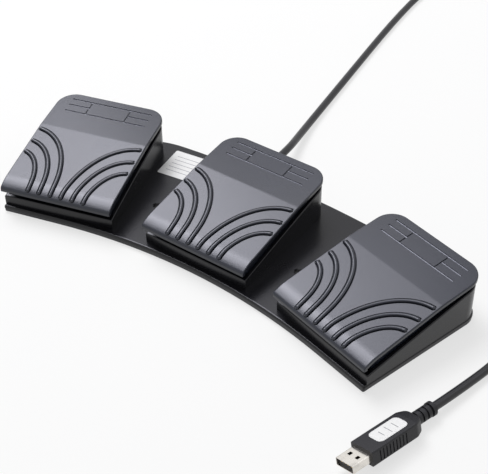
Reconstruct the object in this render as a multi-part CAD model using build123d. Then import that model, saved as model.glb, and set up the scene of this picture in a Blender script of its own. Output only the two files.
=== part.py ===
from build123d import *
import math
import os

# A three-treadle foot switch on one curved base, with its USB lead.
# Millimetres and degrees. Z is up, the ground is at 0, and the operator stands at -Y.
# Every treadle and its box are drawn in one treadle frame: X across, Y to the rear from
# the treadle's front edge, Z up. The three frames fan out about one centre.

# Treadles and their fan
SIDES = {-1: "left", 0: "centre", 1: "right"}
TREADLE_WIDTH = 72.0
TREADLE_LENGTH = 87.5
TREADLE_WALL = 2.2
TREADLE_CORNER = 12.0
FAN_RADIUS = 350.4
FAN_STEP = 15.33
FAN_CENTRE_Y = -384.5
PRESS_ANGLE = 3.0

# The treadle's top, as (Y, Z) corners from the rear to the front lip, and their radii
TOP_CORNERS = [(92.0, 32.25), (53.5, 29.33), (4.3, 21.76), (-1.0, 19.05), (-1.0, 16.4)]
TOP_RADII = [15.0, 26.0, 2.0]
RIM_ROUND = 0.7

# Raised waves and the engraved lines at the rear of the top
WAVE_CENTRE = (36.5, 1.0)
WAVE_REACH = [(33.0, 48.5), (25.6, 37.8), (18.3, 28.3)]
WAVE_R = 1.3
WAVE_BALL_SHARE = 1.05
WAVE_SUNK = 0.3
WAVE_GROOVE = 3.5
WAVE_GROOVE_DEPTH = 0.4
WAVE_SIDE_END = 33.4
WAVE_FRONT_END = 1.4
LINE_WIDTH = 0.9
LINE_DEPTH = 0.5
LINE_HALF = 27.4
LINE_BREAK = 13.2
LINE_ROWS = (70.3, 76.2, 81.8)

# Base: feet, bottom plate, deck and the three open boxes
FOOT_PROUD = 1.0
PLATE_TOP = 2.8
PLATE_SHARE = 0.998
DECK_TOP = 4.95
BOX_HALF = 35.6
BOX_FRONT = 1.9
BOX_REAR = 86.0
BOX_CORNER = 10.5
BOX_WALL = 1.8
BOX_TOP_FRONT = 11.0
BOX_TOP_SLOPE = 0.196
BOX_RIM_ROUND = 0.7
END_HALF = 36.0
END_FRONT = -0.45
FRONT_ARC_MIDDLE = -1.45
FRONT_ARC_ANGLE = 14.64
FRONT_ARC_RADIUS = 365.65
REAR_ARC_MIDDLE = 91.6
REAR_INNER = 92.6
FIXING_HOLE_Y = 34.1
FIXING_HOLE_R = 1.8

# Hinge, switch and spring under each treadle
AXIS_Y = 76.0
AXIS_Z = 20.0
PIN_R = 1.5
PIN_HALF = 30.5
PIN_CLEARANCE = 0.05
LUG_X = 24.0
LUG_THICK = 4.0
POST_X = 28.9
POST_THICK = 3.2
KNUCKLE_R = 4.0
SKIRT_THICK = 1.5
SKIRT_GAP = 0.6
SKIRT_FRONT = 6.9
SKIRT_REAR = 81.2
SKIRT_DIP = 1.6
SWITCH_Y = 55.0
BOARD_Z = 8.6
BOARD_THICK = 1.6
BOARD_SIZE = (24.0, 14.0)
BOARD_STAND_X = 9.5
BOARD_STAND_R = 2.2
BOARD_SCREW_R = 1.1
SWITCH_SIZE = (12.8, 6.2, 8.4)
PLUNGER_R = 1.5
PLUNGER_PROUD = 2.0
PLUNGER_LENGTH = 4.4
SPRING_Y = 28.0
SPRING_R = 4.2
SPRING_WIRE_R = 0.45
SPRING_CURLS = 6
SPRING_SEAT_Z = 6.4
SPRING_TOP_Z = 19.6
STOP_AT = (26.0, 36.0)
STOP_Z = 9.5
STOP_R = 3.2
PAD_THICK = 2.0

# Feet and screws, as (X, Y) in the treadle frame
FEET_AT = [(-20.0, 7.0), (20.0, 7.0), (0.0, 76.0)]
FOOT_R = 6.0
FOOT_THICK = 2.0
SCREWS_AT = [(-28.5, 13.0), (28.5, 13.0), (-28.5, 60.0), (28.5, 60.0)]
SCREW_R = 1.3
SCREW_HEAD_R = 2.4
SCREW_HEAD = 0.9
SCREW_LENGTH = 6.5
BOSS_R = 2.9
BOSS_TOP = 10.3

# Control board in the middle box, with its parts along Y, in the treadle frame
CONTROL_AT = (-15.5, 21.0)
CONTROL_SIZE = (17.0, 22.0, 1.6)
CONTROL_Z = 7.5
CHIP_Y = 15.5
CRYSTAL_Y = 22.4
CONNECTOR_Y = 28.6
STAND_ROWS = (13.5, 28.5)
WIRES_Y = 42.0
WIRE_R = 0.45
WIRES_APART = 1.2

# Lead: diameter, where it leaves the middle box, and its route on the ground
CORD_R = 2.4
EXIT_X = -14.5
EXIT_Z = 9.6
RELIEF_LENGTH = 19.0
TAIL_LENGTH = 30.0
REAR_ROUTE = [
    (-14.5, 70.9, EXIT_Z),
    (-14.5, 83.5, EXIT_Z),
    (-19.8, 104.0, 5.6),
    (-26.0, 134.0, CORD_R),
    (-51.5, 316.0, CORD_R),
    (-40.0, 346.0, CORD_R),
    (-7.0, 358.0, CORD_R),
    (28.0, 346.0, CORD_R),
    (50.0, 315.0, CORD_R),
    (72.0, 287.3, CORD_R),
    (100.2, 287.3, CORD_R),
]
COIL_CENTRE = (105.0, 250.5)
COIL_OUTER_R = 36.8
COIL_INNER_R = 20.0
COIL_TURNS = 3
COIL_LIFT = 5.3
COIL_DIP = 1.0
PLUG_ROUTE = [
    (140.4, 245.7, CORD_R + COIL_LIFT),
    (140.4, 221.0, CORD_R + COIL_LIFT),
    (144.0, 183.0, CORD_R),
    (157.0, 133.0, CORD_R),
    (172.0, 87.0, CORD_R),
    (177.6, 42.0, CORD_R),
    (174.0, 2.0, CORD_R),
    (166.85, -31.233, 4.267),
    (162.511, -47.646, 5.157),
]

# Blank label on the deck: its size and its place between two treadles
DECK_LABEL = (34.0, 24.8)
DECK_LABEL_Y = 74.9
LABEL_THICK = 0.12

# Plug: the front middle of its shell, its turn, and its sizes
PLUG_AT = (146.94, -106.54, 8.35)
PLUG_YAW = -14.81
PLUG_PITCH = -3.0
PLUG_ROLL = -16.8
SHELL_SIZE = (12.0, 18.6, 4.5)
SHELL_SEEN = 11.6
SHELL_WALL = 0.35
GRIP_SIZE = (15.0, 36.0, 8.4)
NECK_LENGTH = 13.4
PLUG_LABEL = (9.8, 20.0)
PLUG_LABEL_Y = 18.0


def at_treadle(index):
    """The place of a treadle's frame on the base."""
    return Pos(0, FAN_CENTRE_Y, 0) * Rot(0, 0, -index * FAN_STEP) * Pos(0, FAN_RADIUS, 0)


def on_base(index, x, y):
    """A point of a treadle's frame, in the base's frame."""
    turn = math.radians(index * FAN_STEP)
    reach = FAN_RADIUS + y
    return (
        reach * math.sin(turn) + x * math.cos(turn),
        FAN_CENTRE_Y + reach * math.cos(turn) - x * math.sin(turn),
    )


def box_top(y):
    """Height of the box's rim at a distance behind the treadle's front."""
    return BOX_TOP_FRONT + BOX_TOP_SLOPE * (y - BOX_FRONT)


def shifted(points, amount):
    """An open line of (Y, Z) points moved sideways, inwards where amount is positive."""
    runs = []
    for start, end in zip(points, points[1:]):
        along = (Vector(*end) - Vector(*start)).normalized()
        side = Vector(-along.Y, along.X) * amount
        runs.append((Vector(*start) + side, along, Vector(*end) + side))
    moved = [runs[0][0]]
    for (p, a, _), (q, b, _) in zip(runs, runs[1:]):
        gap = q - p
        reach = (gap.X * b.Y - gap.Y * b.X) / (a.X * b.Y - a.Y * b.X)
        moved.append(p + a * reach)
    moved.append(runs[-1][2])
    return moved


def top_line(depth):
    """The treadle's top line, moved inwards by depth."""
    corners = [(0, p.X, p.Y) for p in shifted(TOP_CORNERS, depth)]
    return FilletPolyline(*corners, radius=[max(r - depth, 0.3) for r in TOP_RADII])


def layer(top, bottom):
    """All that lies between two depths under the treadle's top."""
    upper = top_line(top)
    lower = top_line(bottom)
    ends = [Line(upper @ 1, lower @ 1), Line(lower @ 0, upper @ 0)]
    outline = Wire([*upper.edges(), *lower.edges(), *[e.edge() for e in ends]])
    return extrude(make_face(outline), TREADLE_WIDTH, both=True)


def under(depth):
    """All that lies under the treadle's top, below a depth."""
    line = top_line(depth)
    front = line @ 1
    rear = line @ 0
    closing = Polyline(front, (0, front.Y, -5), (0, rear.Y, -5), rear)
    outline = Wire([*line.edges(), *closing.edges()])
    return extrude(make_face(outline), TREADLE_WIDTH, both=True)


def side_block(points, half_width, centre=0.0):
    """A prism across the treadle from a closed outline of (Y, Z) points."""
    outline = Polyline(*[(centre, y, z) for y, z in points], close=True)
    return extrude(make_face(outline), half_width, both=True)


def plan(half_width, front, rear, corner):
    """A treadle-frame outline with its two rear corners rounded."""
    shape = Pos(0, (front + rear) / 2) * Rectangle(2 * half_width, rear - front)
    return fillet(shape.vertices().group_by(Axis.Y)[-1], corner)


def tall(sketch, height=45.0):
    """A sketch carried straight up through everything."""
    return extrude(sketch, height)


def wave_band(side, across, along):
    """The plan of the groove round one wave: a quarter of an ellipse with rounded ends."""
    centre = Pos(side * WAVE_CENTRE[0], WAVE_CENTRE[1])
    half = WAVE_GROOVE / 2
    ring = centre * (Ellipse(across + half, along + half) - Ellipse(across - half, along - half))
    window = Pos(side * WAVE_SIDE_END / 2, WAVE_FRONT_END + 50) * Rectangle(WAVE_SIDE_END, 100)
    off_centre = (WAVE_CENTRE[0] - WAVE_SIDE_END) / across
    side_end = (side * WAVE_SIDE_END, WAVE_CENTRE[1] + along * math.sqrt(1 - off_centre**2))
    front_end = (side * (WAVE_CENTRE[0] - across), WAVE_FRONT_END)
    ends = Pos(*side_end) * Circle(half * 0.98) + Pos(*front_end) * Circle(half * 0.98)
    return (ring & window) + ends


def top_height(line, y):
    """Height of the treadle's top line at a distance behind its front."""
    low, high = 0.0, 1.0
    for _ in range(30):
        middle = (low + high) / 2
        if (line @ middle).Y > y:
            low = middle
        else:
            high = middle
    return (line @ low).Z


def wave(side, across, along):
    """One raised wave: a round bar with ball ends, sunk into the top along its ellipse."""
    line = top_line(0)
    first = math.asin((WAVE_FRONT_END - WAVE_CENTRE[1]) / along)
    last = math.acos((WAVE_CENTRE[0] - WAVE_SIDE_END) / across)
    steps = 12
    points = []
    for k in range(steps + 1):
        turn = first + (last - first) * k / steps
        y = WAVE_CENTRE[1] + along * math.sin(turn)
        x = side * (WAVE_CENTRE[0] - across * math.cos(turn))
        points.append((x, y, top_height(line, y) - WAVE_SUNK))
    bar = tube([Spline(*points).edge()], WAVE_R)
    for end in (points[0], points[-1]):
        bar += Pos(*end) * Sphere(WAVE_R * WAVE_BALL_SHARE)
    return bar


def engraved_lines():
    """The plan of the lines cut into the rear of the top."""
    near, middle, far = LINE_ROWS
    lines = Sketch()
    for row in (near, far):
        lines += Pos(0, row) * Rectangle(2 * LINE_HALF, LINE_WIDTH)
    for side in (-1, 1):
        length = LINE_HALF - LINE_BREAK
        lines += Pos(side * (LINE_BREAK + length / 2), middle) * Rectangle(length, LINE_WIDTH)
        lines += Pos(side * LINE_BREAK, (near + far) / 2) * Rectangle(LINE_WIDTH, far - near)
    return lines


def treadle_shell():
    """The treadle's top plate with its curled front, rounded rim, waves and lines."""
    half = TREADLE_WIDTH / 2
    shell = tall(plan(half, -1.0, TREADLE_LENGTH, TREADLE_CORNER)) & layer(0, TREADLE_WALL)
    line = top_line(0)
    rim = []
    for edge in shell.edges():
        middle = edge @ 0.5
        on_top = line.distance_to(Vector(0, middle.Y, middle.Z)) < 0.01
        if on_top and (abs(middle.X) > half - TREADLE_CORNER or middle.Y > TREADLE_LENGTH - 0.1):
            rim.append(edge)
    shell = fillet(rim, RIM_ROUND)
    shallow = layer(-1.0, WAVE_GROOVE_DEPTH)
    inside = layer(-3.0, TREADLE_WALL - 0.2)
    for side in (-1, 1):
        for across, along in WAVE_REACH:
            shell -= tall(wave_band(side, across, along)) & shallow
            shell += wave(side, across, along) & inside
    return shell - (tall(engraved_lines()) & layer(-1.0, LINE_DEPTH))


def treadle_skirt():
    """The wall under the treadle that reaches down inside the box."""
    half = BOX_HALF - BOX_WALL - SKIRT_GAP
    corner = BOX_CORNER - 2.0
    thick = SKIRT_THICK
    outer = plan(half, SKIRT_FRONT, SKIRT_REAR, corner)
    inner = plan(half - thick, SKIRT_FRONT + thick, SKIRT_REAR - thick, corner - thick)
    ring = tall(outer - inner)
    below = [(-5, -1), (100, -1), (100, box_top(100) - SKIRT_DIP), (-5, box_top(-5) - SKIRT_DIP)]
    return (ring - side_block(below, 40)) & under(TREADLE_WALL - 0.4)


def treadle():
    """One treadle: shell, skirt, hinge lugs, switch pusher and spring peg."""
    body = treadle_shell() + treadle_skirt()
    below_top = under(TREADLE_WALL - 0.4)
    for side in (-1, 1):
        lug = side_block([(AXIS_Y - KNUCKLE_R, AXIS_Z), (AXIS_Y + KNUCKLE_R, AXIS_Z),
                          (AXIS_Y + KNUCKLE_R, 40), (AXIS_Y - KNUCKLE_R, 40)],
                         LUG_THICK / 2, side * LUG_X)
        lug += Pos(side * LUG_X, AXIS_Y, AXIS_Z) * Rot(0, 90, 0) * Cylinder(KNUCKLE_R, LUG_THICK)
        body += lug & below_top
    pusher_base = plunger_top() + 0.1
    pusher = Pos(0, SWITCH_Y, pusher_base + 10) * Box(5, 4, 20)
    stiffener = Pos(0, SWITCH_Y, pusher_base + 3 + 10) * Box(24, 1.6, 20)
    body += (pusher + stiffener) & below_top
    press = (AXIS_Y - STOP_AT[1]) * math.tan(math.radians(PRESS_ANGLE))
    for side in (-1, 1):
        leg_end = STOP_Z + PAD_THICK + press + 0.15
        leg = Pos(side * STOP_AT[0], STOP_AT[1], leg_end + 10) * Cylinder(STOP_R - 0.8, 20)
        body += leg & below_top
    peg = Pos(0, SPRING_Y, SPRING_TOP_Z - 2.5 + 10) * Cylinder(SPRING_R - 2 * SPRING_WIRE_R - 0.4, 20)
    flange = Pos(0, SPRING_Y, SPRING_TOP_Z + 0.05 + 10) * Cylinder(SPRING_R + 1.2, 20)
    body += (peg + flange) & below_top
    bore = Pos(0, AXIS_Y, AXIS_Z) * Rot(0, 90, 0) * Cylinder(PIN_R + PIN_CLEARANCE, 80)
    return body - bore


def plunger_top():
    """Height of the switch plunger's tip with the treadle up."""
    return BOARD_Z + BOARD_THICK + SWITCH_SIZE[2] + PLUNGER_PROUD


def base_outline():
    """The outline of the curved base."""
    turn = math.radians(FRONT_ARC_ANGLE)
    tangent_x = FRONT_ARC_RADIUS * math.sin(turn)
    middle = FAN_CENTRE_Y + FAN_RADIUS + FRONT_ARC_MIDDLE
    tangent_y = middle - FRONT_ARC_RADIUS * (1 - math.cos(turn))
    rear_middle = FAN_CENTRE_Y + FAN_RADIUS + REAR_ARC_MIDDLE
    right = [
        (tangent_x, tangent_y),
        on_base(1, END_HALF, END_FRONT),
        on_base(1, END_HALF, BOX_REAR),
        on_base(1, -END_HALF, REAR_INNER),
    ]
    left = [(-x, y) for x, y in right]
    edges = [
        ThreePointArc(left[0], (0, middle), right[0]),
        Polyline(*right),
        ThreePointArc(right[3], (0, rear_middle), left[3]),
        Polyline(*left[::-1]),
    ]
    outline = make_face(Wire([e for line in edges for e in line.edges()]))
    corners = outline.vertices()
    rear_ends = [v for v in corners if abs(v.X) > 140 and v.Y > 0]
    outline = fillet(rear_ends, BOX_CORNER)
    front_ends = [v for v in outline.vertices() if abs(v.X) > 120 and v.Y < -40]
    outline = fillet(front_ends, 1.0)
    inner_rear = [v for v in outline.vertices() if 70 < abs(v.X) < 100 and v.Y > 30]
    return fillet(inner_rear, 60.0)


def box_walls():
    """One open box: four walls with a sloping rim, on the deck."""
    outer = plan(BOX_HALF, BOX_FRONT, BOX_REAR, BOX_CORNER)
    inner = plan(BOX_HALF - BOX_WALL, BOX_FRONT + BOX_WALL, BOX_REAR - BOX_WALL, BOX_CORNER - BOX_WALL)
    above = [(-5, box_top(-5)), (100, box_top(100)), (100, 60), (-5, 60)]
    below = [(-5, -1), (100, -1), (100, PLATE_TOP), (-5, PLATE_TOP)]
    shell = tall(outer) - side_block(above, 45) - side_block(below, 45)
    shell = fillet(shell.edges().filter_by(is_rim), BOX_RIM_ROUND)
    return shell - tall(inner)


def is_rim(edge):
    """True for an edge of the box's sloping rim."""
    middle = edge @ 0.5
    return abs(middle.Z - box_top(middle.Y)) < 0.3 and middle.Z > DECK_TOP


def box_fittings():
    """What stands on the floor of a box: screw bosses, hinge posts, board posts, spring seat."""
    fittings = []
    for x, y in SCREWS_AT:
        boss = Pos(x, y, (DECK_TOP - 0.5 + BOSS_TOP) / 2)
        fittings.append(boss * Cylinder(BOSS_R, BOSS_TOP - DECK_TOP + 0.5))
    for side in (-1, 1):
        post = side_block([(AXIS_Y - 4, DECK_TOP - 0.5), (AXIS_Y + 4, DECK_TOP - 0.5),
                           (AXIS_Y + KNUCKLE_R, AXIS_Z), (AXIS_Y - KNUCKLE_R, AXIS_Z)],
                          POST_THICK / 2, side * POST_X)
        top = Pos(side * POST_X, AXIS_Y, AXIS_Z) * Rot(0, 90, 0) * Cylinder(KNUCKLE_R, POST_THICK)
        fittings.append(post + top)
        stand = Pos(side * BOARD_STAND_X, SWITCH_Y, (DECK_TOP - 0.5 + BOARD_Z) / 2)
        fittings.append(stand * Cylinder(BOARD_STAND_R, BOARD_Z - DECK_TOP + 0.5))
        stop = Pos(side * STOP_AT[0], STOP_AT[1], (DECK_TOP - 0.5 + STOP_Z) / 2)
        fittings.append(stop * Cylinder(STOP_R, STOP_Z - DECK_TOP + 0.5))
    seat = Pos(0, SPRING_Y, (DECK_TOP - 0.5 + SPRING_SEAT_Z) / 2)
    fittings.append(seat * Cylinder(SPRING_R + 1.2, SPRING_SEAT_Z - DECK_TOP + 0.5))
    peg_r = SPRING_R - 2 * SPRING_WIRE_R - 0.3
    fittings.append(Pos(0, SPRING_Y, SPRING_SEAT_Z + 1.5) * Cylinder(peg_r, 4))
    return fittings


def base_housing():
    """The moulded top of the base: curved deck and three open boxes in one piece."""
    deck = extrude(Pos(0, 0, PLATE_TOP) * base_outline(), DECK_TOP - PLATE_TOP)
    deck = fillet(deck.faces().sort_by(Axis.Z)[-1].outer_wire().edges(), 1.3)
    body = deck
    for index in SIDES:
        body += at_treadle(index) * box_walls()
        for piece in box_fittings():
            body += at_treadle(index) * piece
    for index in SIDES:
        for x, y in SCREWS_AT:
            hole = Pos(x, y, PLATE_TOP) * Cylinder(SCREW_R, 2 * (SCREW_LENGTH - 1.2))
            body -= at_treadle(index) * hole
        axis = Pos(0, AXIS_Y, AXIS_Z) * Rot(0, 90, 0) * Cylinder(PIN_R, 2 * PIN_HALF)
        body -= at_treadle(index) * axis
        wire_slot = Pos(0, WIRES_Y, PLATE_TOP) * Box(9, 4, 6)
        body -= at_treadle(index) * wire_slot
    for side in (-1, 1):
        body -= fixing_hole(side)
        body -= Pos(0, 0, PLATE_TOP) * wire_channel(side)
    return body - Pos(EXIT_X, box_rear_y(), EXIT_Z) * Rot(90, 0, 0) * Cylinder(3.4, 12)


def box_rear_y():
    """Where the middle box's rear wall stands, in the base's frame."""
    return FAN_CENTRE_Y + FAN_RADIUS + BOX_REAR


def fixing_hole(side):
    """A screw hole through the base, half way between two treadles, with a countersink."""
    turn = Pos(0, FAN_CENTRE_Y, 0) * Rot(0, 0, -side * FAN_STEP / 2) * Pos(0, FAN_RADIUS, 0)
    hole = Pos(0, FIXING_HOLE_Y, 3) * Cylinder(FIXING_HOLE_R, 12)
    sink = Pos(0, FIXING_HOLE_Y, DECK_TOP - 0.3) * Cone(FIXING_HOLE_R, FIXING_HOLE_R + 0.6, 0.6)
    return turn * (hole + sink)


def wire_channel(side):
    """The groove under the deck that takes the wires from the middle box to an outer one."""
    start = Vector(*on_base(0, side * 3, WIRES_Y))
    end = Vector(*on_base(side, 0, WIRES_Y))
    reach = end - start
    turn = math.degrees(math.atan2(reach.Y, reach.X))
    middle = (start + end) * 0.5
    return Pos(middle.X, middle.Y, 0) * Rot(0, 0, turn) * Box(reach.length, 3.4, 2.4)


def bottom_plate():
    """The flat plate that closes the base from below."""
    outline = scale(base_outline(), by=PLATE_SHARE)
    body = extrude(Pos(0, 0, FOOT_PROUD) * outline, PLATE_TOP - FOOT_PROUD)
    for index in SIDES:
        for x, y in FEET_AT:
            recess = Pos(x, y, FOOT_PROUD) * Cylinder(FOOT_R, 2 * (FOOT_THICK - FOOT_PROUD))
            body -= at_treadle(index) * recess
        for x, y in SCREWS_AT:
            head = Pos(x, y, FOOT_PROUD) * Cylinder(SCREW_HEAD_R, 2 * SCREW_HEAD)
            shank = Pos(x, y, FOOT_PROUD) * Cylinder(SCREW_R, 10)
            body -= at_treadle(index) * (head + shank)
    for side in (-1, 1):
        body -= fixing_hole(side)
    return body


def rubber_feet():
    """Nine round feet set into the bottom plate."""
    feet = []
    for index in SIDES:
        for x, y in FEET_AT:
            foot = Pos(x, y, FOOT_THICK / 2) * Cylinder(FOOT_R, FOOT_THICK)
            foot = chamfer(foot.edges().filter_by(GeomType.CIRCLE).sort_by(Axis.Z)[0], 0.4)
            feet.append(at_treadle(index) * foot)
    return feet


def bottom_screws():
    """Twelve screws that hold the bottom plate to the boxes."""
    screws = []
    for index in SIDES:
        for x, y in SCREWS_AT:
            head = Pos(x, y, FOOT_PROUD + SCREW_HEAD / 2) * Cylinder(SCREW_HEAD_R, SCREW_HEAD)
            top = FOOT_PROUD + SCREW_LENGTH
            shank = Pos(x, y, (FOOT_PROUD + top) / 2) * Cylinder(SCREW_R, SCREW_LENGTH)
            slots = Pos(x, y, FOOT_PROUD) * (Box(2.8, 0.6, 1.0) + Box(0.6, 2.8, 1.0))
            screws.append(at_treadle(index) * (head + shank - slots))
    return screws


def hinge_pin():
    """The steel pin that a treadle turns on."""
    pin = Pos(0, AXIS_Y, AXIS_Z) * Rot(0, 90, 0) * Cylinder(PIN_R, 2 * PIN_HALF)
    return chamfer(pin.edges().filter_by(GeomType.CIRCLE), 0.3)


def switch_board():
    """The small board that carries a treadle's switch."""
    board = Pos(0, SWITCH_Y, BOARD_Z + BOARD_THICK / 2) * Box(*BOARD_SIZE, BOARD_THICK)
    board = fillet(board.edges().filter_by(Axis.Z), 1.5)
    for side in (-1, 1):
        board -= Pos(side * BOARD_STAND_X, SWITCH_Y, BOARD_Z) * Cylinder(BOARD_SCREW_R, 6)
    return board


def board_screws():
    """Two screws that hold a switch board to its stands, per treadle."""
    screws = []
    for index in SIDES:
        for side in (-1, 1):
            head = Pos(0, 0, 0.6) * Cylinder(1.9, 1.2)
            shank = Pos(0, 0, -BOARD_THICK / 2) * Cylinder(BOARD_SCREW_R, BOARD_THICK)
            slot = Pos(0, 0, 1.2) * Box(2.4, 0.5, 0.8)
            place = Pos(side * BOARD_STAND_X, SWITCH_Y, BOARD_Z + BOARD_THICK)
            screws.append(at_treadle(index) * place * (head + shank - slot))
    return screws


def switch_body():
    """A snap-action switch case, with the bore that its plunger slides in."""
    wide, deep, high = SWITCH_SIZE
    bottom = BOARD_Z + BOARD_THICK
    case = Pos(0, SWITCH_Y, bottom + high / 2) * Box(wide, deep, high)
    case = chamfer(case.faces().sort_by(Axis.Z)[-1].edges(), 0.5)
    bore_depth = PLUNGER_LENGTH - PLUNGER_PROUD + 1.6
    return case - Pos(0, SWITCH_Y, bottom + high) * Cylinder(PLUNGER_R + 0.08, 2 * bore_depth)


def switch_plunger():
    """The round-topped plunger that the treadle presses."""
    top = plunger_top()
    plunger = Pos(0, SWITCH_Y, top - PLUNGER_LENGTH / 2) * Cylinder(PLUNGER_R, PLUNGER_LENGTH)
    return fillet(plunger.edges().filter_by(GeomType.CIRCLE).sort_by(Axis.Z)[-1], 0.6)


def bumpers():
    """Two soft stops that end a treadle's travel."""
    pads = []
    for side in (-1, 1):
        pad = Pos(side * STOP_AT[0], STOP_AT[1], STOP_Z + PAD_THICK / 2) * Cylinder(STOP_R, PAD_THICK)
        pads.append(fillet(pad.edges().filter_by(GeomType.CIRCLE).sort_by(Axis.Z)[-1], 0.8))
    return pads


def biarc(start, start_way, end, end_way):
    """Two arcs that leave start and reach end in the given directions."""
    gap = end - start
    both = start_way + end_way
    a = 2 * (start_way.dot(end_way) - 1)
    b = -2 * gap.dot(both)
    reach = (-b - math.sqrt(b * b - 4 * a * gap.dot(gap))) / (2 * a)
    first = start + start_way * reach
    last = end - end_way * reach
    joint = (first + last) * 0.5
    way = (last - first).normalized()
    return [TangentArc(start, joint, tangent=start_way), TangentArc(joint, end, tangent=way)]


def wound(place, steps, first, last):
    """A smooth line through place(0) to place(steps), with its directions, as biarcs."""
    tiny = 1e-4
    ways = [(place(k + tiny) - place(k - tiny)).normalized() for k in range(steps + 1)]
    ways[0] = first or ways[0]
    ways[-1] = last or ways[-1]
    edges = []
    for k in range(steps):
        edges += [arc.edge() for arc in biarc(place(k), ways[k], place(k + 1), ways[k + 1])]
    return edges


def tube(edges, radius):
    """A round bar along joined edges."""
    path = Wire(edges)
    section = Plane(origin=path @ 0, z_dir=path % 0) * Circle(radius)
    return sweep(section, path=path)


def least_gap(line, radius, apart):
    """The least gap between two points of a line that are well apart along it."""
    count = 400
    points = [line @ (k / count) for k in range(count + 1)]
    skip = math.ceil(apart / (line.length / count))
    least = min((points[i] - points[j]).length
                for i in range(count) for j in range(i + skip, count + 1))
    return least - 2 * radius


def return_spring():
    """The compression spring that lifts a treadle, with its turns."""
    wire = SPRING_WIRE_R
    low = SPRING_SEAT_Z + wire
    high = SPRING_TOP_Z - wire
    quarters = 4 * SPRING_CURLS
    radius = SPRING_R - wire

    def place(k):
        turn = math.radians(90 * k)
        height = low + (high - low) * k / quarters
        return Vector(radius * math.cos(turn), SPRING_Y + radius * math.sin(turn), height)

    edges = wound(place, quarters, None, None)
    gap = least_gap(Wire(edges), wire, 2 * radius)
    print("return spring least gap", round(gap, 2))
    return tube(edges, wire)


def coil_place(k):
    """A point of the lead's put-away coil, k quarter turns along it, clockwise from its top."""
    layer_quarters = 4 * COIL_TURNS
    climb = 2
    spread = COIL_OUTER_R - COIL_INNER_R
    turn = math.radians(90 - 90 * k)
    if k <= layer_quarters:
        radius = COIL_OUTER_R - spread * k / layer_quarters
        height = CORD_R
    elif k <= layer_quarters + climb:
        share = (k - layer_quarters) / climb
        radius = COIL_INNER_R - COIL_DIP * math.sin(math.pi * share)
        height = CORD_R + COIL_LIFT * (1 - math.cos(math.pi * share)) / 2
    else:
        radius = COIL_INNER_R + spread * (k - layer_quarters - climb) / layer_quarters
        height = CORD_R + COIL_LIFT
    x, y = COIL_CENTRE
    return Vector(x + radius * math.cos(turn), y + radius * math.sin(turn), height)


def coil_quarters():
    """Quarter turns in the coil: in on the ground, a half turn up, and out again."""
    return 2 * 4 * COIL_TURNS + 2 + 1 - 2


def cable_coil():
    """The lead's put-away length: two layers of turns, in one unbroken tube."""
    quarters = coil_quarters()
    first = Vector(1, 0, 0)
    last = Vector(0, -1, 0)
    start = coil_place(0)
    end = coil_place(quarters)
    lead = 2 * CORD_R
    edges = [Line(start - first * lead, start).edge()]
    edges += wound(coil_place, quarters, first, last)
    edges.append(Line(end, end + last * lead).edge())
    line = Wire(edges)
    print("coil length", round(line.length, 1), "ends at", end + last * lead)
    print("coil least gap", round(least_gap(line, CORD_R, 60), 2))
    return tube(edges, CORD_R)


def route_radii(points):
    """The bend at each corner of a route: 0.45 of its shorter run over the half turn's tangent."""
    radii = []
    for a, b, c in zip(points, points[1:], points[2:]):
        before = Vector(*b) - Vector(*a)
        after = Vector(*c) - Vector(*b)
        half_turn = math.radians(before.get_angle(after)) / 2
        radii.append(0.45 * min(before.length, after.length) / math.tan(half_turn))
    return radii


def cable_run(name, points):
    """A free stretch of the lead: straight runs joined by arcs."""
    radii = route_radii(points)
    path = FilletPolyline(*points, radius=radii)
    body = tube(path.edges(), CORD_R)
    share = body.volume / (math.pi * CORD_R**2 * path.length)
    print(name, "length", round(path.length, 1), "radii", [round(r) for r in radii], "share", round(share, 4))
    return body


def cable_relief():
    """The flexible boot where the lead leaves the middle box, with its collar inside the wall."""
    wall = box_rear_y()
    boot = Cone(4.2, 3.1, RELIEF_LENGTH - 4.0 + 0.2)
    boot = Pos(0, 0, (RELIEF_LENGTH - 4.0) / 2 + 2) * boot
    neck = Pos(0, 0, -BOX_WALL / 2 + 0.95) * Cylinder(3.4, BOX_WALL + 2.1)
    collar = Pos(0, 0, -BOX_WALL - 1.0) * Cylinder(4.6, 2.0)
    tip = Pos(0, 0, RELIEF_LENGTH - 1.2) * Cylinder(3.1, 2.4)
    flange = Pos(0, 0, 1.1) * Cylinder(4.2, 2.2)
    body = boot + neck + collar + tip + flange
    for k in range(3):
        body -= Pos(0, 0, 5.0 + 4.0 * k) * (Cylinder(5, 1.2) - Cylinder(2.9, 1.2))
    return Pos(EXIT_X, wall, EXIT_Z) * Rot(-90, 0, 0) * body


def cable_tail():
    """The lead inside the middle box, from the boot's collar to the control board."""
    start = box_rear_y() - BOX_WALL - 2.0
    length = TAIL_LENGTH
    return Pos(EXIT_X, start - length / 2, EXIT_Z) * Rot(90, 0, 0) * Cylinder(CORD_R, length)


def control_board():
    """The board in the middle box that turns the switches into key signals."""
    thick = CONTROL_SIZE[2]
    board = Pos(*CONTROL_AT, CONTROL_Z + thick / 2) * Box(*CONTROL_SIZE)
    board = fillet(board.edges().filter_by(Axis.Z), 1.0)
    return at_treadle(0) * board


def control_stands():
    """Two stands that carry the control board."""
    x = CONTROL_AT[0]
    height = CONTROL_Z - DECK_TOP
    stands = [Pos(x, y, DECK_TOP + height / 2) * Cylinder(2.0, height) for y in STAND_ROWS]
    return [at_treadle(0) * s for s in stands]


def control_chip():
    """The controller and its crystal, on the board."""
    x = CONTROL_AT[0]
    top = CONTROL_Z + CONTROL_SIZE[2]
    chip = Pos(x, CHIP_Y, top + 0.7) * Box(7, 7, 1.4)
    crystal = Pos(x, CRYSTAL_Y, top + 1.2) * Box(8, 3.4, 2.4)
    crystal = fillet(crystal.edges().filter_by(Axis.Z), 1.5)
    return [at_treadle(0) * chip, at_treadle(0) * crystal]


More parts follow.
